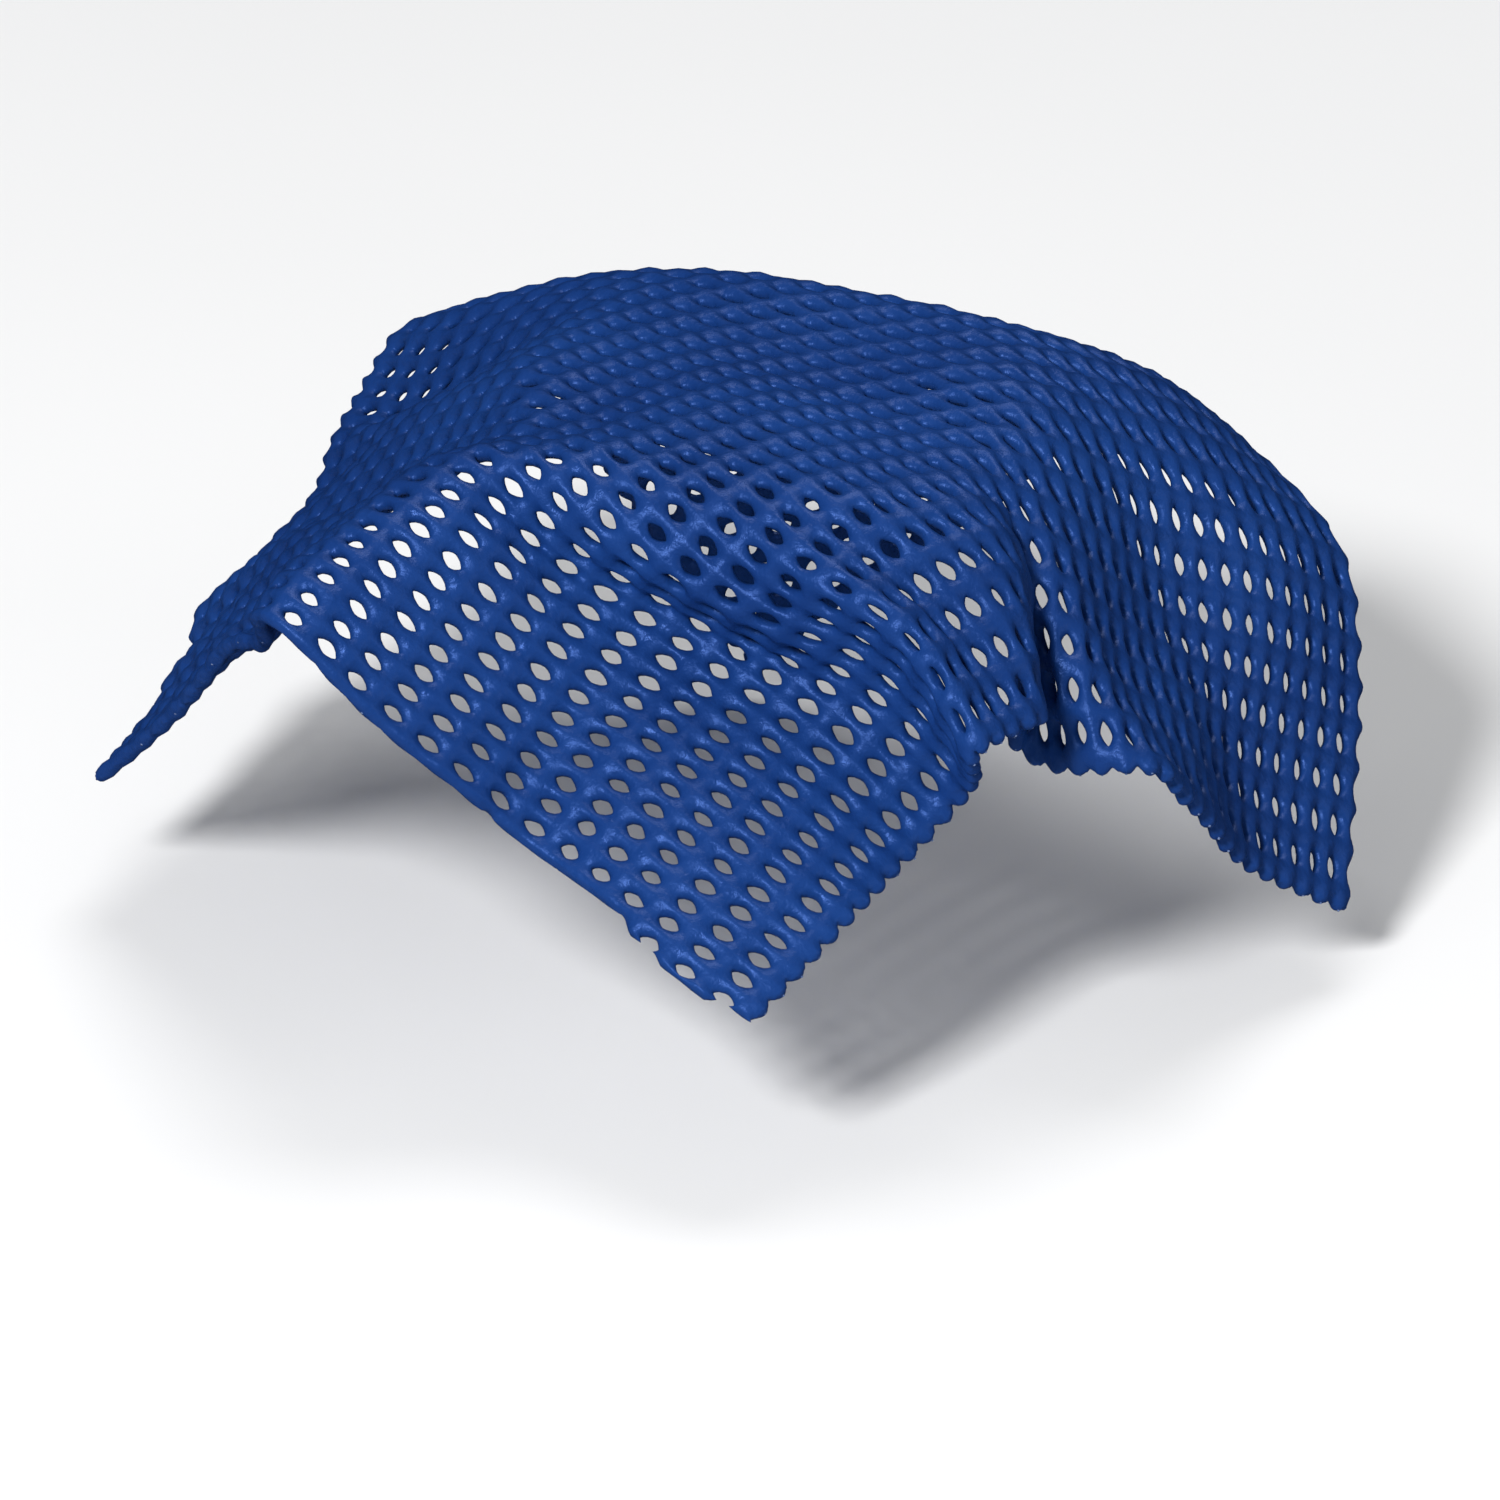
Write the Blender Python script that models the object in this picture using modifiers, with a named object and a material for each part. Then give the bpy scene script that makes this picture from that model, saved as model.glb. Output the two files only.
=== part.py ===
"""Rubber jar opener: a square anti-slip net mat, draped over a jar lid with one corner to the front.

Metres, +Z up. The origin is the middle of the lid seat: the flat underside of the mat's crown,
where it rests on the lid. The mat is a flat square sheet in its own coordinates (p, q):
p runs along the long axis of the net's holes, q across it, both counted from the lid's middle.
A coarse cage says where the sheet's points lie when it is draped, and every panel is the same
sheet, cut along the fold lines in (p, q) and then carried onto that drape.

The mat is three layers all over: a foamed rubber coat, the woven polyester scrim that carries it,
and the foamed rubber coat on the other face. The crown lies on the lid and reaches the hem at the
four ridges; the four corner flaps hang from it and bend at the fold lines.
"""

import bmesh
import bpy
from mathutils import Matrix, Vector

MM = 0.001

# ---- the sheet -----------------------------------------------------------------------------
P_MIN, P_MAX = -94.0, 112.0     # sheet edges along the holes, from the lid's middle, mm
Q_MIN, Q_MAX = -107.0, 95.0     # sheet edges across the holes, mm
CELLS_P, CELLS_Q = 22, 22       # grid cells of the sheet
COAT = 0.9                      # thickness of each foam coat, mm
SCRIM = 0.3                     # thickness of the woven scrim, mm
LAYER_GAP = 0.3                 # clearance between two layers, mm
THICK = 2 * COAT + SCRIM + 2 * LAYER_GAP
FOLD_GAP = 1.0                  # clearance between two panels along a fold, mm
CORNER_CUT = 1.5                # the die's rounding at the sheet's corners, mm

# ---- the lid seat --------------------------------------------------------------------------
SEAT_FLAT_R = 36.0              # the crown is dead flat inside this radius, mm
SEAT_BLEND_R = 50.0             # and follows the cage from here on, mm

# ---- the drape -----------------------------------------------------------------------------
# Cage of the draped sheet, mm: a row at each CAGE_P, a point at each CAGE_Q, z from the lid's top
# to the middle of the sheet. The first row is the hem from the front corner to the right corner,
# and the last row the hem from the left corner to the back corner. The points lie closer where
# the sheet makes a pleat beside the front flap.
CAGE_P = (-94, -60, -26, 9, 43, 77, 112)
CAGE_Q = (-107, -73, -39, -22, -8, 6, 24, 56, 95)
CAGE = (
    ((-1, -107, -57), (19, -78, -48), (33, -77, -28), (38, -77, -24), (43, -62, -28), (38, -54, -39), (54, -63, -36), (68, -48, -55), (90, -27, -80)),
    ((-27, -87, -46), (-6, -61, -31), (12, -60, -10), (18, -58, -3), (31, -48, -2), (37, -39, -7), (47, -36, -18), (66, -19, -38), (94, -1, -57)),
    ((-50, -72, -33), (-32, -48, -18), (-15, -44, 2), (-2, -33, 5), (7, -24, 3), (19, -14, 2), (38, -8, 0), (63, 4, -15), (91, 22, -35)),
    ((-76, -67, -10), (-58, -41, 1), (-34, -17, 4), (-22, -4, 3), (-12, 5, 2), (-2, 14, -1), (14, 19, 1), (44, 30, -4), (70, 49, -26)),
    ((-83, -43, -25), (-70, -15, -20), (-49, 9, -10), (-41, 21, -1), (-32, 33, -2), (-22, 42, -1), (-4, 47, 0), (21, 51, -18), (48, 67, -40)),
    ((-94, -20, -46), (-83, 8, -39), (-64, 33, -28), (-56, 44, -23), (-49, 54, -23), (-44, 65, -13), (-28, 68, -14), (-3, 69, -34), (23, 74, -63)),
    ((-108, 3, -68), (-97, 33, -60), (-81, 56, -50), (-72, 67, -42), (-69, 80, -37), (-63, 89, -29), (-45, 92, -30), (-27, 85, -54), (-4, 78, -85)),
)

# ---- the folds: where each corner flap's fold meets the two hems, in (p, q), mm ---------------
FOLDS = {
    "front_flap": ((5.0, Q_MIN), (P_MIN, 0.0)),
    "right_flap": ((P_MIN, 24.0), (-7.0, Q_MAX)),
    "back_flap": ((13.0, Q_MAX), (P_MAX, 20.0)),
    "left_flap": ((P_MAX, -8.0), (25.0, Q_MIN)),
}

# ---- the hinge line of each flap: a point on it and its direction, mm ------------------------
HINGES = {
    "front_flap": ((-12.0, -62.0, -2.0), (-1.0, -0.02, 0.04)),
    "right_flap": ((74.0, -14.0, -20.0), (-0.1, -1.0, 0.06)),
    "back_flap": ((7.0, 71.0, -20.0), (0.937, -0.35, 0.0)),
    "left_flap": ((-76.0, 10.0, -20.0), (0.07, 1.0, -0.13)),
}

COAT_COLOUR = (0.016, 0.055, 0.215)
SCRIM_COLOUR = (0.10, 0.16, 0.34)


def cage_slope(m, at):
    """The slope of the cage at its line m, as weights of the lines round it."""
    if m == 0 or m == len(at) - 1:
        a, b = (0, 1) if m == 0 else (m - 1, m)
        return {a: -1 / (at[b] - at[a]), b: 1 / (at[b] - at[a])}
    before, after = at[m] - at[m - 1], at[m + 1] - at[m]
    both = before + after
    return {m - 1: -after / before / both, m: (after / before - before / after) / both,
            m + 1: before / after / both}


def cage_weights(x, at):
    """The cage lines round x with their weights: a cubic between two lines, with the slopes of both."""
    x = min(max(x, at[0]), at[-1])
    k = 0
    while k < len(at) - 2 and x > at[k + 1]:
        k += 1
    wide = at[k + 1] - at[k]
    f = (x - at[k]) / wide
    weights = {k: 2 * f**3 - 3 * f * f + 1, k + 1: 3 * f * f - 2 * f**3}
    for m, share in ((k, f**3 - 2 * f * f + f), (k + 1, f**3 - f * f)):
        for line, weight in cage_slope(m, at).items():
            weights[line] = weights.get(line, 0.0) + share * wide * weight
    return weights.items()


def draped(p, q):
    """Where the sheet's middle at (p, q) lies in space, in mm."""
    rows = cage_weights(p, CAGE_P)
    columns = cage_weights(q, CAGE_Q)
    point = Vector((0.0, 0.0, 0.0))
    for i, a in rows:
        for j, b in columns:
            point += Vector(CAGE[i][j]) * (a * b)
    r = (point.x * point.x + point.y * point.y) ** 0.5
    t = min(max((r - SEAT_FLAT_R) / (SEAT_BLEND_R - SEAT_FLAT_R), 0.0), 1.0)
    point.z = point.z * t * t * (3 - 2 * t) + THICK / 2
    return point


def side_of(fold, p, q):
    """Distance from the fold line, positive towards the sheet's corner."""
    (p1, q1), (p2, q2) = fold
    dp, dq = p2 - p1, q2 - q1
    length = (dp * dp + dq * dq) ** 0.5
    normal = (dq / length, -dp / length)
    if -p1 * normal[0] - q1 * normal[1] > 0:      # the lid's middle is on the inner side
        normal = (-normal[0], -normal[1])
    return (p - p1) * normal[0] + (q - q1) * normal[1], normal


def flat_panel(kept):
    """The flat sheet as a grid, x = q and y = p, cut down to one panel.

    kept maps a fold's name to +1 for its corner side or -1 for its crown side.
    """
    bm = bmesh.new()
    grid = []
    for i in range(CELLS_P + 1):
        p = P_MIN + (P_MAX - P_MIN) * i / CELLS_P
        row = []
        for j in range(CELLS_Q + 1):
            q = Q_MIN + (Q_MAX - Q_MIN) * j / CELLS_Q
            row.append(bm.verts.new((q, p, 0.0)))
        grid.append(row)
    for i in range(CELLS_P):
        for j in range(CELLS_Q):
            bm.faces.new((grid[i][j], grid[i][j + 1], grid[i + 1][j + 1], grid[i + 1][j]))
    for (p, q) in ((P_MIN, Q_MIN), (P_MIN, Q_MAX), (P_MAX, Q_MAX), (P_MAX, Q_MIN)):
        out = Vector((1.0 if q > 0 else -1.0, 1.0 if p > 0 else -1.0, 0.0)).normalized()
        corner = Vector((q, p, 0.0))
        bmesh.ops.bisect_plane(bm, geom=bm.verts[:] + bm.edges[:] + bm.faces[:], dist=1e-4,
                               plane_co=corner - out * CORNER_CUT, plane_no=out, clear_outer=True)
    for name, keep in kept.items():
        (p1, q1), _ = FOLDS[name]
        _, normal = side_of(FOLDS[name], 0.0, 0.0)
        out = Vector((normal[1], normal[0], 0.0))
        on_line = Vector((q1, p1, 0.0)) + out * (keep * FOLD_GAP / 2)
        bmesh.ops.bisect_plane(bm, geom=bm.verts[:] + bm.edges[:] + bm.faces[:], dist=1e-4,
                               plane_co=on_line, plane_no=out, clear_outer=keep < 0, clear_inner=keep > 0)
    return bm


def panel_mesh(name, kept):
    """The panel's middle surface, draped, in metres."""
    bm = flat_panel(kept)
    for vert in bm.verts:
        vert.co = draped(vert.co.y, vert.co.x) * MM
    bmesh.ops.triangulate(bm, faces=[f for f in bm.faces if len(f.verts) > 4])
    mesh = bpy.data.meshes.new(name)
    bm.to_mesh(mesh)
    bm.free()
    return mesh


def material(name, colour, roughness):
    made = bpy.data.materials.new(name)
    made.use_nodes = True
    shader = made.node_tree.nodes["Principled BSDF"]
    shader.inputs["Base Color"].default_value = (*colour, 1.0)
    shader.inputs["Roughness"].default_value = roughness
    shader.inputs["Metallic"].default_value = 0.0
    return made


def layer(collection, name, mesh, low, high, shade, frame):
    """One layer of a panel: the middle surface thickened from low to high mm along its normals."""
    own = mesh.copy()
    own.name = name
    own.transform(frame.matrix_world.inverted())
    own.materials.append(shade)
    own.shade_smooth()
    obj = bpy.data.objects.new(name, own)
    collection.objects.link(obj)
    obj.parent = frame
    thick = obj.modifiers.new("thickness", "SOLIDIFY")
    thick.thickness = (high - low) * MM
    thick.offset = (high + low) / (high - low)
    thick.use_rim = True
    thick.use_even_offset = False
    return obj


def main():
    for obj in list(bpy.data.objects):
        bpy.data.objects.remove(obj, do_unlink=True)
    collection = bpy.data.collections.new("jar_opener_mat")
    bpy.context.scene.collection.children.link(collection)

    panels = {"crown": {name: -1 for name in FOLDS}}
    panels.update({name: {name: 1} for name in FOLDS})
    inner = SCRIM / 2 + LAYER_GAP
    layers = (
        ("top_coat", inner, inner + COAT, COAT_COLOUR, 0.42),
        ("scrim", -SCRIM / 2, SCRIM / 2, SCRIM_COLOUR, 0.75),
        ("base_coat", -inner - COAT, -inner, COAT_COLOUR, 0.42),
    )
    for panel, kept in panels.items():
        frame = bpy.data.objects.new(panel + "_frame", None)
        collection.objects.link(frame)
        if panel in HINGES:
            point, along = HINGES[panel]
            axis = Vector(along).normalized()
            turn = Vector((1.0, 0.0, 0.0)).rotation_difference(axis)
            frame.matrix_world = Matrix.LocRotScale(Vector(point) * MM, turn, None)
        bpy.context.view_layer.update()
        mesh = panel_mesh(panel, kept)
        for kind, low, high, colour, roughness in layers:
            name = f"{panel}_{kind}"
            layer(collection, name, mesh, low, high, material(name, colour, roughness), frame)
        bpy.data.meshes.remove(mesh)


main()
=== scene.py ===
"""Looks of the jar opener: a blue foam-coated net mat, draped over a lid with one corner to the front.

The mat is one flat net, die-cut from a roll, so it is made here as it is made on the machine: first
flat, hole by hole, in net units (u counts the holes along their long axis, v across it), then cut
along its four hems, and then carried onto the draped sheet. The drape starts from a coarse guide
surface and is relaxed as a net that can't stretch, lying on the lid.

Five foam nets (the crown and four corner flaps) and the scrim yarns inside them stand for the CAD's
coats and scrims. Millimetres throughout, turned into metres when a mesh is written.
"""

import math

import bmesh
import bpy
import numpy as np
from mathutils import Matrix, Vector


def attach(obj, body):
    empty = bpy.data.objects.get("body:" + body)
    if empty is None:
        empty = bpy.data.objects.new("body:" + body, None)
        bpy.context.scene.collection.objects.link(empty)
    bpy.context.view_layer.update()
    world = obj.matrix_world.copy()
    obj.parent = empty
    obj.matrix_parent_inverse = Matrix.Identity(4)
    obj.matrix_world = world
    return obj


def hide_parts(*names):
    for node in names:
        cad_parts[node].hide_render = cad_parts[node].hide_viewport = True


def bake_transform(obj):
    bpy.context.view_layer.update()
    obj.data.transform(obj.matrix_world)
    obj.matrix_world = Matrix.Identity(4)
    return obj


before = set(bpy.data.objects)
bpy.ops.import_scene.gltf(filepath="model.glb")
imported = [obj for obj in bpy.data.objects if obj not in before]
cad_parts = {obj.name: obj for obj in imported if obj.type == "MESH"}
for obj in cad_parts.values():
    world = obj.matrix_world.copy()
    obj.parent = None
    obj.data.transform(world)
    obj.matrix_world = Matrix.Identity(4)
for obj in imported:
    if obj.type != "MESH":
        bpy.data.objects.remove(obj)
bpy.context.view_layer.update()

MM = 0.001

# ---- the net -------------------------------------------------------------------------------
A, B = 7.4, 4.44                 # pitch of the holes along and across, mm
HOLE_L, HOLE_W = 0.56, 0.53      # a hole's length and width as shares of the pitch
U0, V0 = 11.746, 23.6            # the net coordinates of the lid's middle
U_FIRST, U_LAST = -0.90, 26.90   # the hems across the holes: front-right and back-left
V_LAST = 45.00                   # the hem along the holes, right-back
V_FIRST = -0.76                  # the hem along the holes, front-left
# By the front corner that hem steps out unevenly and opens the last holes: (u, v) of its turns.
HEM_TURNS = ((-0.90, -1.12), (0.02, -1.10), (0.26, -1.44), (1.50, -1.40), (1.78, -1.16),
             (2.52, -1.14), (2.86, V_FIRST))
HALF = 1.12                      # half the thickness of the foam, taken over the net, mm
CUT_R = 0.9                      # how far the foam rounds over at a cut, mm
MIDDLE_Z = 1.35                  # height of the net's middle over the lid, mm
LID_R = 43.0                     # the lid's radius, mm
ROWS, COLS = 29, 47              # nodes of the drape, one at each hole and one beyond each hem

# Coarse guide of the drape, mm from the lid's middle, at these rows and columns of holes: the rows
# run from the front-right hem to the back-left one, and the columns lie closer where the net makes
# a pleat beside the front flap.
GUIDE_ROWS = (-1, 2, 5, 9, 13, 16.5, 20, 23.5, 27)
GUIDE_COLS = (-1, 4, 9, 13, 16, 18.5, 21, 23.5, 26, 29, 34, 39, 45)
GUIDE = (
    ((-3, -105, -59), (11, -90, -51), (25, -73, -46), (32, -73, -36), (32, -83, -25), (36, -75, -25), (43, -67, -26), (35, -59, -39), (42, -56, -45), (55, -60, -36), (66, -56, -49), (74, -41, -63), (91, -27, -79)),
    ((-20, -95, -51), (-5, -81, -41), (8, -65, -31), (16, -63, -20), (23, -69, -10), (24, -62, -11), (36, -55, -9), (40, -44, -11), (42, -48, -20), (48, -52, -27), (61, -31, -35), (73, -24, -51), (93, -10, -64)),
    ((-35, -79, -44), (-25, -66, -32), (-10, -51, -22), (0, -56, -13), (7, -58, -6), (12, -52, 0), (18, -47, 1), (27, -39, 0), (35, -30, -1), (46, -29, -11), (60, -14, -29), (76, -5, -36), (94, 9, -50)),
    ((-55, -74, -31), (-42, -58, -21), (-32, -45, -10), (-25, -43, 1), (-18, -35, 8), (-7, -27, 9), (4, -19, 8), (11, -13, 3), (15, -7, -3), (37, -5, 5), (52, 3, -8), (71, 12, -19), (87, 25, -34)),
    ((-77, -67, -13), (-66, -51, -4), (-51, -34, 4), (-39, -25, 2), (-29, -12, 6), (-23, -5, 5), (-14, 2, 5), (-7, 10, 2), (3, 17, -1), (13, 22, 0), (35, 25, 0), (54, 36, -9), (68, 50, -26)),
    ((-81, -49, -19), (-74, -35, -16), (-62, -13, -13), (-50, -5, -10), (-42, 5, 0), (-36, 14, 1), (-31, 24, -1), (-22, 31, 0), (-15, 38, 0), (1, 40, 2), (19, 45, -7), (35, 50, -21), (55, 65, -33)),
    ((-88, -31, -33), (-81, -13, -31), (-73, 5, -27), (-61, 15, -24), (-53, 25, -13), (-47, 33, -13), (-43, 43, -14), (-38, 51, -8), (-29, 57, -5), (-16, 60, -7), (2, 60, -19), (17, 64, -34), (35, 71, -53)),
    ((-97, -13, -51), (-91, 5, -48), (-83, 23, -42), (-74, 33, -39), (-65, 44, -30), (-62, 51, -30), (-59, 55, -31), (-54, 67, -24), (-48, 73, -16), (-35, 74, -18), (-17, 73, -31), (-2, 74, -48), (15, 75, -68)),
    ((-108, 3, -68), (-102, 24, -69), (-95, 42, -63), (-87, 52, -56), (-79, 60, -50), (-73, 66, -42), (-69, 78, -36), (-66, 90, -33), (-60, 91, -29), (-45, 94, -31), (-32, 88, -47), (-20, 82, -65), (-4, 78, -86)),
)

# ---- the corner flaps: the line across the flat net (p, q in mm from the lid's middle, as in the
# CAD) where each flap's own net begins, a little to the crown's side of its fold, and the
# direction in which the flap leaves the crown
P_LOW, P_HIGH, Q_LOW, Q_HIGH = -94.0, 112.0, -107.0, 95.0
SEAM = 4.5                       # from the fold to the seam, mm
FOLDS = {
    "front_flap": ((5.0, Q_LOW), (P_LOW, 0.0), (0.0, -0.75, -0.66)),
    "right_flap": ((P_LOW, 24.0), (-7.0, Q_HIGH), (0.72, -0.06, -0.69)),
    "back_flap": ((13.0, Q_HIGH), (P_HIGH, 20.0), (0.22, 0.62, -0.75)),
    "left_flap": ((P_HIGH, -8.0), (25.0, Q_LOW), (-0.78, -0.05, -0.62)),
}
BODIES = ("crown",) + tuple(FOLDS)


# ---- the drape -----------------------------------------------------------------------------
def guide_weights(count, at):
    """Weights of each net row on the guide's rows: cubic pieces with the neighbours' slopes."""
    at = np.array(at, float)
    gap, last = np.diff(at), len(at) - 1
    slope = np.zeros((len(at), len(at)))
    slope[0, :2] = -1 / gap[0], 1 / gap[0]
    slope[last, -2:] = -1 / gap[-1], 1 / gap[-1]
    for m in range(1, last):
        a, b = gap[m - 1], gap[m]
        slope[m, m - 1:m + 2] = np.array([-b / a, b / a - a / b, a / b]) / (a + b)
    t = np.arange(count) - 1.0
    k = np.clip(np.searchsorted(at, t, side="right") - 1, 0, last - 1)
    wide = gap[k][:, None]
    f = (t - at[k])[:, None] / wide
    point = np.eye(len(at))
    return ((2 * f**3 - 3 * f**2 + 1) * point[k] + (f**3 - 2 * f**2 + f) * wide * slope[k]
            + (3 * f**2 - 2 * f**3) * point[k + 1] + (f**3 - f**2) * wide * slope[k + 1])


def hold_length(x, axis, first, length):
    """Moves every second pair of neighbours along an axis to its length."""
    y = np.moveaxis(x, axis, 0)
    pair = np.arange(first, len(y) - 1, 2)
    d = y[pair + 1] - y[pair]
    now = np.linalg.norm(d, axis=-1, keepdims=True)
    move = 0.5 * (1 - length / now) * d
    y[pair] += move
    y[pair + 1] -= move


def hold_diagonals(x, share, length):
    """The foam resists shear: the two diagonals of each mesh stay near their length."""
    shift = np.zeros_like(x)
    for a, b in (
        ((slice(0, -1), slice(0, -1)), (slice(1, None), slice(1, None))),
        ((slice(0, -1), slice(1, None)), (slice(1, None), slice(0, -1))),
    ):
        d = x[b] - x[a]
        now = np.linalg.norm(d, axis=-1, keepdims=True)
        move = 0.25 * share * (1 - length / now) * d
        shift[a] += move
        shift[b] -= move
    x += shift


def straighten(x, share):
    """The foam resists bending: each node moves towards the middle of its neighbours."""
    shift = np.zeros_like(x)
    for axis in (0, 1):
        y, s = np.moveaxis(x, axis, 0), np.moveaxis(shift, axis, 0)
        off = 0.5 * (y[2:] + y[:-2]) - y[1:-1]
        s[1:-1] += share * off
        s[2:] -= 0.5 * share * off
        s[:-2] -= 0.5 * share * off
    x += 0.5 * shift


def relaxed_net(steps=500):
    """The draped net's nodes, one at each hole: the guide, made into a net that can't stretch."""
    guide = np.array(GUIDE, float)
    rows, cols = guide_weights(ROWS, GUIDE_ROWS), guide_weights(COLS, GUIDE_COLS)
    guide = np.einsum("ia,jb,abk->ijk", rows, cols, guide)
    x = guide.copy()
    for step in range(steps):
        pull = 0.10 + (0.03 - 0.10) * step / steps
        x += pull * (guide - x)
        straighten(x, 0.1)
        hold_diagonals(x, 0.12, math.hypot(A, B))
        for _ in range(2):
            for axis, length in ((0, A), (1, B)):
                hold_length(x, axis, 0, length)
                hold_length(x, axis, 1, length)
        radius = np.hypot(x[..., 0], x[..., 1])
        x[..., 2] = np.where((radius < LID_R) & (x[..., 2] < 0), 0.0, x[..., 2])
        x[..., 2] = np.where(radius < LID_R - 3, 0.97 * x[..., 2], x[..., 2])
    return x


def padded_nodes(x, times=2):
    for _ in range(times):
        x = np.concatenate([2 * x[:1] - x[1:2], x, 2 * x[-1:] - x[-2:-1]], 0)
        x = np.concatenate([2 * x[:, :1] - x[:, 1:2], x, 2 * x[:, -1:] - x[:, -2:-1]], 1)
    return x


class Drape:
    """A smooth surface (cubic B-spline) through the relaxed net: place and normal at any (u, v)."""

    def __init__(self, nodes):
        self.nodes = padded_nodes(nodes)

    @staticmethod
    def basis(f):
        return (
            np.stack([(1 - f) ** 3, 3 * f**3 - 6 * f**2 + 4, -3 * f**3 + 3 * f**2 + 3 * f + 1, f**3], -1) / 6,
            np.stack([-((1 - f) ** 2), 3 * f**2 - 4 * f, -3 * f**2 + 2 * f + 1, f**2], -1) / 2,
        )

    def at(self, u, v):
        """u and v in net units; node (i, j) of the drape is hole (i - 1, j - 1)."""
        s, t = u + 3, v + 3
        i = np.clip(np.floor(s).astype(int), 1, self.nodes.shape[0] - 3)
        j = np.clip(np.floor(t).astype(int), 1, self.nodes.shape[1] - 3)
        (bu, du), (bv, dv) = self.basis(s - i), self.basis(t - j)
        place = np.zeros(u.shape + (3,))
        along, across = np.zeros_like(place), np.zeros_like(place)
        for a in range(4):
            for b in range(4):
                node = self.nodes[i - 1 + a, j - 1 + b]
                place += (bu[..., a] * bv[..., b])[..., None] * node
                along += (du[..., a] * bv[..., b])[..., None] * node
                across += (bu[..., a] * dv[..., b])[..., None] * node
        up = np.cross(across, along)
        up /= np.maximum(np.linalg.norm(up, axis=-1, keepdims=True), 1e-9)
        place[..., 2] += MIDDLE_Z
        return place, up


# ---- the flat net --------------------------------------------------------------------------
def chance(i, j, salt):
    """A number from -1 to 1 that is the same for the same hole each time."""
    x = np.sin(i * 127.1 + j * 311.7 + salt * 74.7) * 43758.5453
    return 2 * (x - np.floor(x)) - 1


def wander(u, v):
    """How far the ribs stray from a perfect lattice, mm."""
    du = 0.10 * np.sin(1.9 * u + 0.7 * v) + 0.08 * np.sin(0.9 * v - 2.3 * u + 1.0)
    dv = 0.09 * np.sin(2.6 * u - 1.1 * v + 2.0) + 0.07 * np.sin(1.7 * v + 1.3 * u)
    return du, dv


def half_height(x, y):
    """Half the foam's thickness on the crests, mm: every knot stands up as a bead."""
    u, v = x / A, y / B
    swell = -0.16 * np.cos(2 * np.pi * u) - 0.17 * np.cos(2 * np.pi * v)
    lump = 0.05 * np.sin(2.1 * u + 3.1 * v) + 0.04 * np.sin(5.3 * u - 1.9 * v + 0.5)
    return HALF * (1 + swell + lump)


SIDES = 16
# From the rim of a hole to the crest of its ribs: (way out, height), a little fuller than an ellipse.
FULLNESS = 2.6
RINGS = [(out, (1 - (1 - out) ** FULLNESS) ** (1 / FULLNESS)) for out in (0.0, 0.07, 0.26, 0.60, 1.0)]
LAYERS = len(RINGS) - 1


def flat_cells():
    """The whole net, flat: vertices (x, y in mm, z the foam's half height) and quads, one layer."""
    turn = 2 * np.pi * np.arange(SIDES) / SIDES
    rim = np.array([(2, 0), (2, 1), (2, 2), (1, 2), (0, 2), (-1, 2), (-2, 2), (-2, 1),
                    (-2, 0), (-2, -1), (-2, -2), (-1, -2), (0, -2), (1, -2), (2, -2), (2, -1)])
    i, j = np.meshgrid(np.arange(-1, 28), np.arange(-1, 46), indexing="ij")
    i, j = i.ravel(), j.ravel()
    key = np.stack([4 * i[:, None] + rim[:, 0], 4 * j[:, None] + rim[:, 1]], -1)
    flat_key = (key[..., 0] + 1000) * 10000 + key[..., 1] + 1000
    _, first, index = np.unique(flat_key.ravel(), return_index=True, return_inverse=True)
    shared = key.reshape(-1, 2)[first] / 4
    du, dv = wander(shared[:, 0], shared[:, 1])
    rim_xy = np.stack([shared[:, 0] * A + du, shared[:, 1] * B + dv], -1)
    outer = rim_xy[index.reshape(-1)].reshape(len(i), SIDES, 2)

    long = 0.5 * HOLE_L * A * (1 + 0.08 * chance(i, j, 1))[:, None]
    wide = 0.5 * HOLE_W * B * (1 + 0.13 * chance(i, j, 2))[:, None]
    side = 1 + 0.14 * chance(i, j, 3)[:, None] * np.sign(np.sin(turn) + 1e-9)
    lean = 0.07 * chance(i, j, 4)[:, None]
    cos, sin = np.cos(turn), np.sin(turn)
    hx = long * np.sign(cos) * np.abs(cos) ** 1.45 * (1 + 0.07 * chance(i, j, 5)[:, None] * cos)
    hy = wide * side * np.sign(sin) * np.abs(sin) ** 1.5 + lean * hx
    hx = hx + 0.10 * chance(i, j, 8)[:, None] * hy
    cu, cv = wander(i, j)
    hx += (i * A + cu + 0.12 * chance(i, j, 6))[:, None]
    hy += (j * B + cv + 0.10 * chance(i, j, 7))[:, None]
    hole = np.stack([hx, hy], -1)

    rings = []
    for out, high in RINGS[:-1]:
        xy = hole + (outer - hole) * out
        z = high * half_height(xy[..., 0], xy[..., 1])
        rings.append(np.concatenate([xy, z[..., None]], -1))
    inner = np.stack(rings, 1).reshape(-1, 3)             # cell, ring, side
    z = half_height(rim_xy[:, 0], rim_xy[:, 1])
    points = np.concatenate([np.concatenate([rim_xy, z[:, None]], -1), inner])
    base = len(rim_xy)
    cell = np.arange(len(i))[:, None]
    number = [base + (cell * LAYERS + r) * SIDES + np.arange(SIDES) for r in range(LAYERS)]
    number.append(index.reshape(len(i), SIDES))
    quads = []
    for r in range(LAYERS):
        a, b = number[r], number[r + 1]
        quads.append(np.stack([a, b, np.roll(b, -1, 1), np.roll(a, -1, 1)], -1).reshape(-1, 4))
    return points, np.concatenate(quads)


def hem_line(u):
    """Where the front-left hem runs, in net units across the holes."""
    return np.interp(u, [turn[0] for turn in HEM_TURNS], [turn[1] for turn in HEM_TURNS])


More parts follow.
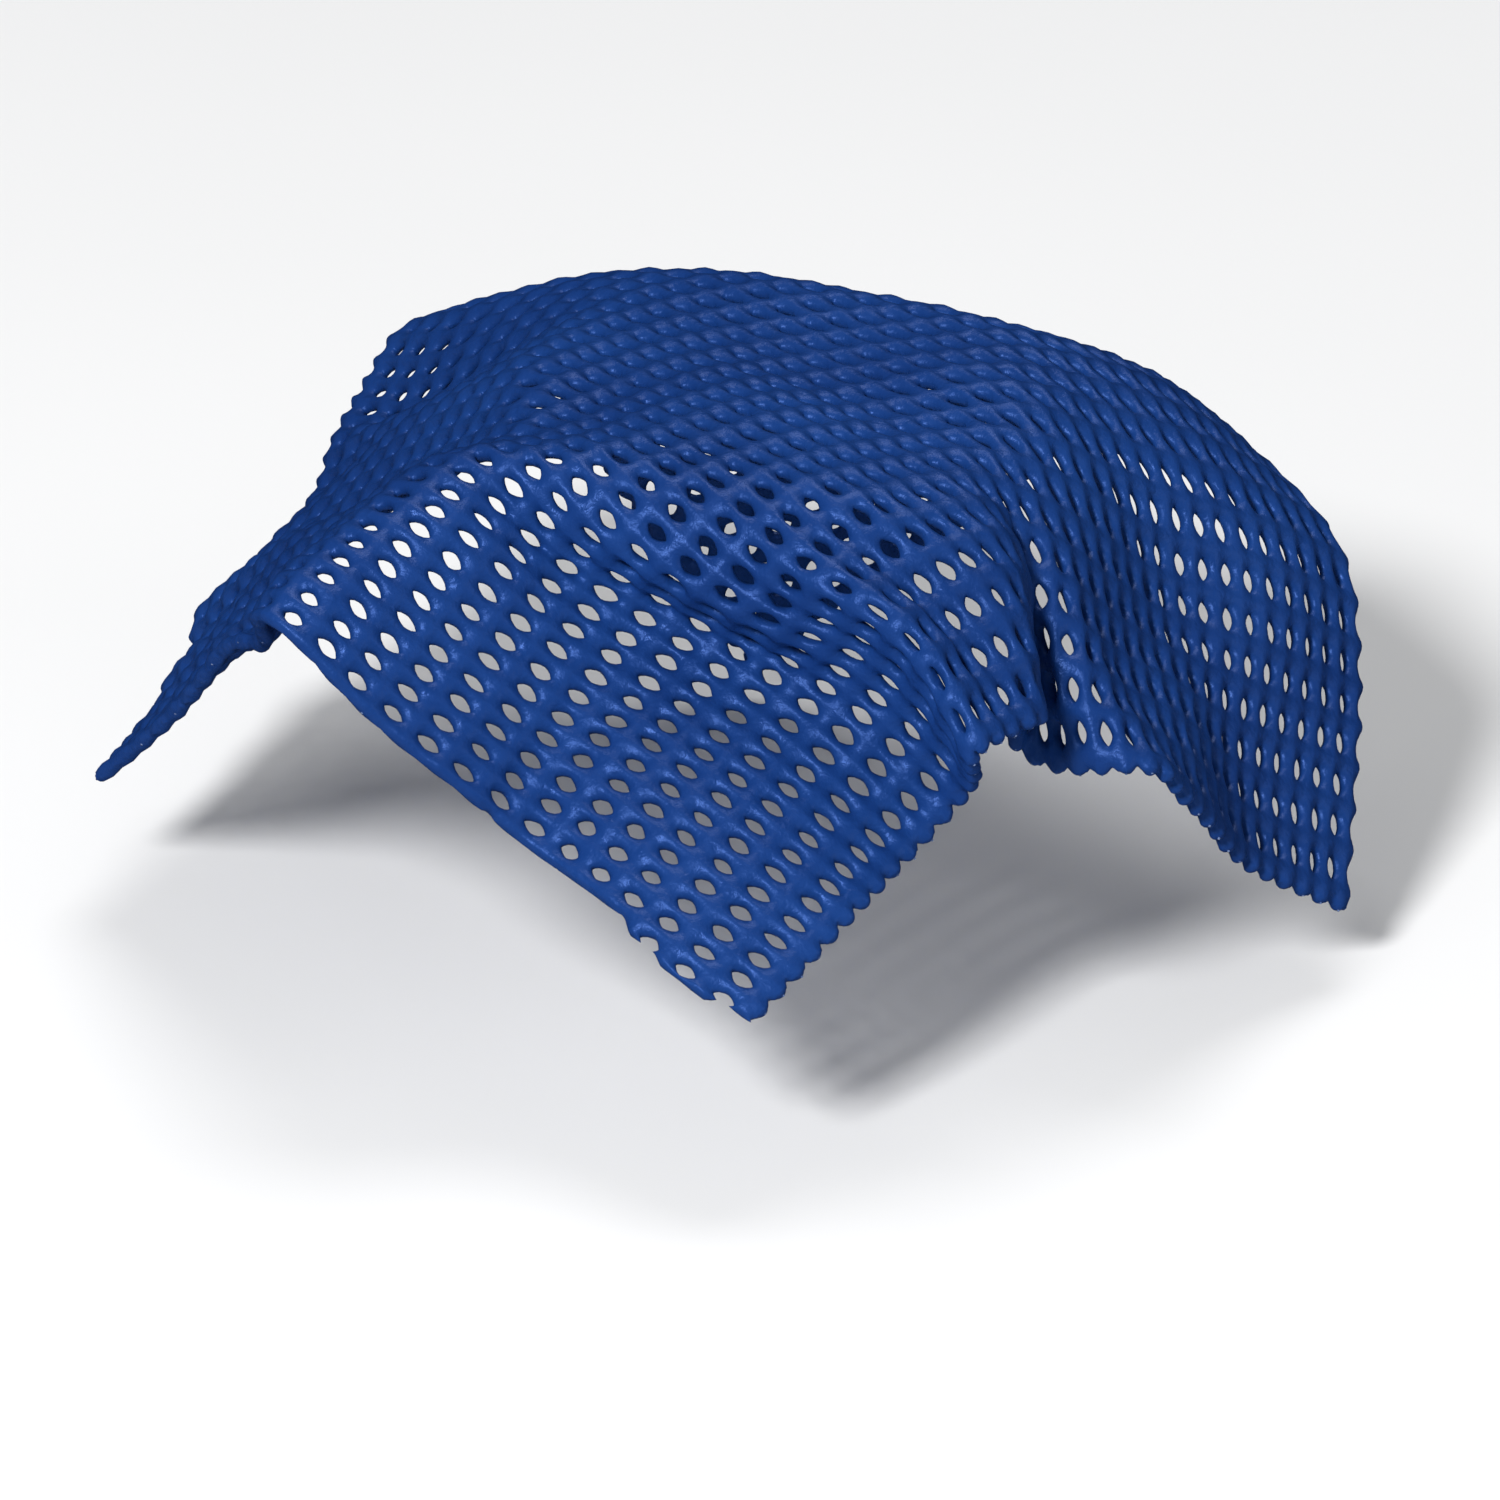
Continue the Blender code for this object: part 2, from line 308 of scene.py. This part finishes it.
def hem_distance(x, y):
    """How far inside its nearest hem a point of the flat net is, mm, and which hem that is."""
    u, v = x / A, y / B
    away = np.stack([(u - U_FIRST) * A, (U_LAST - u) * A, (V_LAST - v) * B, (v - hem_line(u)) * B])
    return away.min(0), away.argmin(0)


def cell_owners():
    """Which body each cell of the net belongs to: 0 is the crown, 1 to 4 the flaps, by (i + 1, j + 1)."""
    i, j = np.meshgrid(np.arange(-1, 28), np.arange(-1, 46), indexing="ij")
    p, q = (i - U0) * A, (j - V0) * B
    owner = np.zeros(i.shape, int)
    for k, ((p1, q1), (p2, q2), _) in enumerate(FOLDS.values(), 1):
        length = math.hypot(p2 - p1, q2 - q1)
        n = np.array([q2 - q1, p1 - p2]) / length
        if -p1 * n[0] - q1 * n[1] > 0:
            n = -n
        owner[(p - p1) * n[0] + (q - q1) * n[1] > -SEAM] = k
    around = np.pad(owner, 1)
    ridge = np.zeros(owner.shape, bool)
    for a in range(3):
        for b in range(3):
            near = around[a:a + owner.shape[0], b:b + owner.shape[1]]
            ridge |= (near > 0) & (owner > 0) & (near != owner)
    owner[ridge] = 0
    return owner


def step_shift(u, y):
    """How far the front-left hem's line is moved in near the front corner, so that it is cut straight."""
    d = (V_FIRST - hem_line(u)) * B
    return d * np.clip(1 - (y / B - V_FIRST) / 1.6, 0, 1)


def cut_net(owner):
    """The flat net, die-cut along its hems with rounded cut ends: points, faces and each face's body."""
    points, quads = flat_cells()
    points[:, 1] += step_shift(points[:, 0] / A, points[:, 1])
    mesh = bpy.data.meshes.new("flat_net")
    mesh.from_pydata(points.tolist(), [], quads.tolist())
    cell_owner = np.tile(np.repeat(owner.ravel(), SIDES), LAYERS)
    mesh.polygons.foreach_set("material_index", cell_owner.astype(np.int32))
    bm = bmesh.new()
    bm.from_mesh(mesh)
    bpy.data.meshes.remove(mesh)

    for depth in (0.0, 0.07, 0.28, 0.62):
        for place, out in (
            ((U_FIRST * A + depth, 0, 0), (-1, 0, 0)),
            ((U_LAST * A - depth, 0, 0), (1, 0, 0)),
            ((0, V_LAST * B - depth, 0), (0, 1, 0)),
            ((0, V_FIRST * B + depth, 0), (0, -1, 0)),
        ):
            place, out = Vector(place), Vector(out)
            faces = [f for f in bm.faces if abs((f.calc_center_median() - place).dot(out)) < 9.0]
            edges = list({e for f in faces for e in f.edges})
            verts = list({v for f in faces for v in f.verts})
            bmesh.ops.bisect_plane(bm, geom=verts + edges + faces, dist=1e-3, plane_co=place,
                                   plane_no=out, clear_outer=depth == 0)
    bmesh.ops.delete(bm, geom=[v for v in bm.verts if not v.link_faces], context="VERTS")
    bm.verts.index_update()
    points = np.array([v.co for v in bm.verts], float)
    back = points[:, 1]
    for _ in range(10):
        back = points[:, 1] - step_shift(points[:, 0] / A, back)
    points[:, 1] = back
    rim = np.zeros(len(points), bool)
    for e in bm.edges:
        if e.is_boundary:
            rim[[v.index for v in e.verts]] = True
    faces = [tuple(v.index for v in f.verts) for f in bm.faces]
    body = np.array([f.material_index for f in bm.faces])
    bm.free()

    away, hem = hem_distance(points[:, 0], points[:, 1])
    away = np.clip(away, 0, None)
    points[:, 2] *= np.sqrt(np.clip(1 - (1 - np.minimum(away, CUT_R) / CUT_R) ** 2, 0, 1))
    points[rim, 2] = 0
    # The cut ends of the ribs, and the knots along the right-back hem, are round in plan too.
    u, v = points[:, 0] / A, points[:, 1] / B
    aside = np.where(hem < 2, np.abs(v - np.floor(v) - 0.5) * B, np.abs(u - np.floor(u) - 0.5) * A)
    give = 0.50 * np.clip(aside / 1.1, 0, 1) ** 2 * np.exp(-away / 0.55) * (hem < 3)
    points[:, 0] += np.where(hem == 0, give, np.where(hem == 1, -give, 0))
    points[:, 1] -= np.where(hem == 2, give, 0)
    solid = np.array([points[list(f), 2].max() > 1e-6 for f in faces])
    faces = [f for f, keep in zip(faces, solid) if keep]
    return points, faces, body[solid]


def unit(direction):
    direction = np.array(direction, float)
    return direction / np.linalg.norm(direction)


def mesh_object(name, points, faces, normals, material):
    mesh = bpy.data.meshes.new(name)
    mesh.from_pydata((points * MM).tolist(), [], faces)
    mesh.polygons.foreach_set("use_smooth", np.ones(len(mesh.polygons), bool))
    mesh.materials.append(material)
    if normals is not None:
        mesh.normals_split_custom_set_from_vertices(normals.tolist())
    obj = bpy.data.objects.new(name, mesh)
    bpy.context.scene.collection.objects.link(obj)
    return obj


def foam_nets(drape, owner, material):
    """The net's five closed pieces, with the whole net's smooth normals, and where each flap's seam lies."""
    flat, faces, body = cut_net(owner)
    place, up = drape.at(flat[:, 0] / A, flat[:, 1] / B)
    lift = up * flat[:, 2:3]
    count = len(flat)
    both = np.concatenate([place + lift, place - lift])
    under = np.where(flat[:, 2] > 1e-6, np.arange(count) + count, np.arange(count))
    top = [f[::-1] for f in faces]
    base = [tuple(under[list(f)].tolist()) for f in faces]

    whole = bpy.data.meshes.new("whole_net")
    whole.from_pydata(both.tolist(), [], top + base)
    normals = np.zeros(len(both) * 3, np.float32)
    whole.vertex_normals.foreach_get("vector", normals)
    normals = normals.reshape(-1, 3)
    bpy.data.meshes.remove(whole)

    sides = {}
    for number, f in enumerate(top):
        for a, b in zip(f, f[1:] + f[:1]):
            sides[a, b] = number
    made, seams = {}, {}
    for k, name in enumerate(BODIES):
        mine = [n for n in range(len(top)) if body[n] == k]
        own = [top[n] for n in mine] + [base[n] for n in mine]
        seam = set()
        for n in mine:
            f = top[n]
            for a, b in zip(f, f[1:] + f[:1]):
                other = sides.get((b, a))
                if other is not None and body[other] != k:
                    ring = [b, a, int(under[a]), int(under[b])]
                    own.append(tuple(dict.fromkeys(ring)))
                    seam.update((a, b))
        own = [f for f in own if len(f) > 2]
        used = np.unique(np.concatenate([np.array(f) for f in own]))
        place_of = np.full(len(both), -1)
        place_of[used] = np.arange(len(used))
        own = [tuple(place_of[list(f)].tolist()) for f in own]
        made[name] = mesh_object(name + "_foam_net", both[used], own, normals[used], material)
        seams[name] = both[sorted(seam)]
    return made, seams


def yarn_tube(points, up, side, radius):
    """A four-sided thread along points, closed at both ends."""
    ring = [points + up * radius, points + side * radius, points - up * radius, points - side * radius]
    verts = np.stack(ring, 1).reshape(-1, 3)
    faces = [(3, 2, 1, 0)]
    for n in range(len(points) - 1):
        for s in range(4):
            a, b = 4 * n + s, 4 * n + (s + 1) % 4
            faces.append((a, b, b + 4, a + 4))
    last = 4 * (len(points) - 1)
    faces.append((last, last + 1, last + 2, last + 3))
    return verts, faces


def scrim_yarns(drape, owner, material):
    """The scrim's yarns in the middle of the foam: one along every rib, one along every row of knots."""
    parts = {name: ([], []) for name in BODIES}

    def lay(u, v, level, cell_u, cell_v):
        du, dv = wander(u, v)
        place, up = drape.at(u + du / A, v + dv / B)
        place = place + up * level
        ahead = np.gradient(place, axis=0)
        ahead /= np.linalg.norm(ahead, axis=1, keepdims=True)
        side = np.cross(up, ahead)
        k = owner[np.clip(cell_u + 1, 0, 28), np.clip(cell_v + 1, 0, 46)]
        start = 0
        for n in range(1, len(u)):
            if n == len(u) - 1 or k[n] != k[start]:
                if n > start:
                    cut = slice(start, n + 1)
                    verts, faces = yarn_tube(place[cut], up[cut], side[cut], 0.22)
                    all_verts, all_faces = parts[BODIES[k[start]]]
                    base = sum(len(x) for x in all_verts)
                    all_verts.append(verts)
                    all_faces += [tuple(x + base for x in f) for f in faces]
                start = n

    for j in range(-1, 45):
        u = np.linspace(U_FIRST, U_LAST, 112)
        lay(u, np.full_like(u, j + 0.5), 0.14, np.floor(u + 0.5).astype(int), np.full(len(u), j + 1))
    for i in range(-1, 27):
        v = np.linspace(V_FIRST + 0.02, V_LAST, 180)
        lay(np.full_like(v, i + 0.5), v, -0.14, np.full(len(v), i + 1), np.floor(v + 0.5).astype(int))
    return {name: mesh_object(name + "_scrim_yarns", np.concatenate(verts), faces, None, material)
            for name, (verts, faces) in parts.items()}


# ---- materials -----------------------------------------------------------------------------
class Nodes:
    """A material's node tree, with short ways to add what this object needs."""

    def __init__(self, name):
        self.material = bpy.data.materials.new(name)
        self.material.use_nodes = True
        self.tree = self.material.node_tree
        self.shader = self.tree.nodes["Principled BSDF"]

    def add(self, kind, **settings):
        node = self.tree.nodes.new(kind)
        for name, value in settings.items():
            setattr(node, name, value)
        return node

    def link(self, source, target):
        self.tree.links.new(source, target)

    def place(self):
        return self.add("ShaderNodeTexCoord").outputs["Object"]

    def noise(self, place, scale, detail=3.0, roughness=0.5, distortion=0.0):
        node = self.add("ShaderNodeTexNoise")
        for name, value in (("Scale", scale), ("Detail", detail), ("Roughness", roughness),
                            ("Distortion", distortion)):
            node.inputs[name].default_value = value
        self.link(place, node.inputs["Vector"])
        return node.outputs["Fac"]

    def ramp(self, value, stops):
        node = self.add("ShaderNodeValToRGB")
        line = node.color_ramp
        while len(line.elements) < len(stops):
            line.elements.new(0.5)
        for element, (where, colour) in zip(line.elements, stops):
            element.position = where
            element.color = (*colour, 1.0)
        self.link(value, node.inputs["Fac"])
        return node.outputs["Color"]

    def between(self, value, low, high, to_low, to_high):
        node = self.add("ShaderNodeMapRange")
        for name, number in (("From Min", low), ("From Max", high), ("To Min", to_low), ("To Max", to_high)):
            node.inputs[name].default_value = number
        self.link(value, node.inputs["Value"])
        return node.outputs["Result"]

    def mixed(self, kind, factor, a, b):
        node = self.add("ShaderNodeMix", data_type="RGBA", blend_type=kind)
        if isinstance(factor, float):
            node.inputs[0].default_value = factor
        else:
            self.link(factor, node.inputs[0])
        for socket, value in ((node.inputs[6], a), (node.inputs[7], b)):
            if isinstance(value, tuple):
                socket.default_value = (*value, 1.0)
            else:
                self.link(value, socket)
        return node.outputs[2]

    def bump(self, height, distance, strength=1.0, under=None):
        node = self.add("ShaderNodeBump")
        node.inputs["Strength"].default_value = strength
        node.inputs["Distance"].default_value = distance
        self.link(height, node.inputs["Height"])
        if under is not None:
            self.link(under, node.inputs["Normal"])
        return node.outputs["Normal"]


def foam_material():
    """Soft foamed rubber: even blue, a dull skin with faint blotches and very fine pores."""
    n = Nodes("foam_rubber_blue")
    place = n.place()
    broad = n.noise(place, 26.0, 3.0)
    skin = n.noise(place, 420.0, 4.0, 0.6)
    lumps = n.noise(place, 950.0, 2.0, 0.5)
    pores = n.noise(place, 2600.0, 2.0)
    colour = n.ramp(broad, ((0.30, (0.0054, 0.0280, 0.1360)), (0.52, (0.0064, 0.0340, 0.1580)),
                            (0.74, (0.0078, 0.0405, 0.1800))))
    colour = n.mixed("MULTIPLY", 0.35, colour, n.ramp(skin, ((0.30, (0.78, 0.80, 0.84)), (0.70, (1.0, 1.0, 1.0)))))
    n.link(colour, n.shader.inputs["Base Color"])
    n.link(n.between(skin, 0.3, 0.7, 0.32, 0.48), n.shader.inputs["Roughness"])
    surface = n.bump(pores, 0.00008, 0.5, n.bump(lumps, 0.00016, 0.7, n.bump(skin, 0.00030, 0.8)))
    n.link(surface, n.shader.inputs["Normal"])
    n.shader.inputs["Specular IOR Level"].default_value = 0.42
    n.shader.inputs["Specular Tint"].default_value = (0.20, 0.38, 1.0, 1.0)
    return n.material


def yarn_material():
    """Pale blue polyester yarn, twisted: fine slanted filaments."""
    n = Nodes("scrim_yarn_blue")
    place = n.place()
    twist = n.noise(place, 1800.0, 3.0, 0.6, 0.6)
    n.link(n.ramp(twist, ((0.3, (0.06, 0.11, 0.26)), (0.7, (0.14, 0.22, 0.44)))), n.shader.inputs["Base Color"])
    n.link(n.between(twist, 0.3, 0.7, 0.65, 0.85), n.shader.inputs["Roughness"])
    n.link(n.bump(twist, 0.0001, 0.8), n.shader.inputs["Normal"])
    n.shader.inputs["Sheen Weight"].default_value = 0.3
    return n.material


def floor_material():
    n = Nodes("pale_floor")
    cloud = n.noise(n.place(), 3.0, 2.0)
    n.link(n.ramp(cloud, ((0.3, (0.80, 0.80, 0.80)), (0.7, (0.83, 0.83, 0.83)))), n.shader.inputs["Base Color"])
    n.shader.inputs["Roughness"].default_value = 0.6
    return n.material


# ---- the studio ----------------------------------------------------------------------------
ELEVATION = math.radians(24.0)
DISTANCE = 2.5
FOCAL_PX = 15750.0               # focal length in pixels of a 1500 pixel wide frame
FRAME_PX = 1500.0
MIDDLE_PX = (775.0, 395.0)       # where the lid's middle falls in that frame
FLOOR_Z = -0.088                 # just under the lowest corner


def camera():
    data = bpy.data.cameras.new("camera")
    data.sensor_width = 36.0
    data.lens = FOCAL_PX / FRAME_PX * 36.0
    data.clip_start, data.clip_end = 0.1, 20.0
    obj = bpy.data.objects.new("camera", data)
    bpy.context.scene.collection.objects.link(obj)
    back = Vector((0, -math.cos(ELEVATION), math.sin(ELEVATION)))
    up = Vector((0, math.sin(ELEVATION), math.cos(ELEVATION)))
    obj.location = Vector((0, 0, MIDDLE_Z * MM)) + back * DISTANCE
    ahead = -back + Vector((1, 0, 0)) * ((FRAME_PX / 2 - MIDDLE_PX[0]) / FOCAL_PX)
    ahead += up * ((MIDDLE_PX[1] - FRAME_PX / 2) / FOCAL_PX)
    obj.rotation_euler = ahead.to_track_quat("-Z", "Y").to_euler()
    bpy.context.scene.camera = obj


def area_light(name, place, aim, size, power, colour=(1.0, 1.0, 1.0)):
    data = bpy.data.lights.new(name, "AREA")
    data.shape = "DISK"
    data.size = size
    data.energy = power
    data.color = colour
    obj = bpy.data.objects.new(name, data)
    bpy.context.scene.collection.objects.link(obj)
    obj.location = place
    obj.rotation_euler = (Vector(aim) - Vector(place)).to_track_quat("-Z", "Y").to_euler()


def studio():
    mesh = bpy.data.meshes.new("floor")
    bm = bmesh.new()
    bmesh.ops.create_circle(bm, cap_ends=True, segments=96, radius=6.0)
    bm.to_mesh(mesh)
    bm.free()
    mesh.materials.append(floor_material())
    floor = bpy.data.objects.new("floor", mesh)
    floor.location.z = FLOOR_Z
    floor.visible_glossy = False
    bpy.context.scene.collection.objects.link(floor)
    area_light("key", (-0.75, -1.5, 1.35), (0, 0, -0.02), 0.50, 56.0)
    area_light("fill", (1.7, -0.9, 0.8), (0, 0, -0.04), 1.2, 6.0)
    area_light("top", (0.2, 0.9, 1.9), (0, 0, 0), 1.2, 15.0)
    world = bpy.data.worlds.new("studio")
    world.use_nodes = True
    world.node_tree.nodes["Background"].inputs["Color"].default_value = (0.95, 0.97, 1.0, 1.0)
    world.node_tree.nodes["Background"].inputs["Strength"].default_value = 0.26
    world.cycles_visibility.glossy = False
    bpy.context.scene.world = world
    bpy.context.scene.view_settings.view_transform = "Standard"


# ---- everything ----------------------------------------------------------------------------
def main():
    owner = cell_owners()
    drape = Drape(relaxed_net())
    nets, seams = foam_nets(drape, owner, foam_material())
    yarns = scrim_yarns(drape, owner, yarn_material())
    for k, name in enumerate(BODIES):
        net, yarn = nets[name], yarns[name]
        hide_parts(name + "_top_coat", name + "_base_coat")
        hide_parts(name + "_scrim")
        if name == "crown":
            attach(net, name)
            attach(yarn, name)
        else:
            way = unit(FOLDS[name][2])
            reach = seams[name] @ way
            start = seams[name][reach.argmax()]
            for piece in (net, yarn):
                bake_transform(piece)
    studio()
    camera()


main()
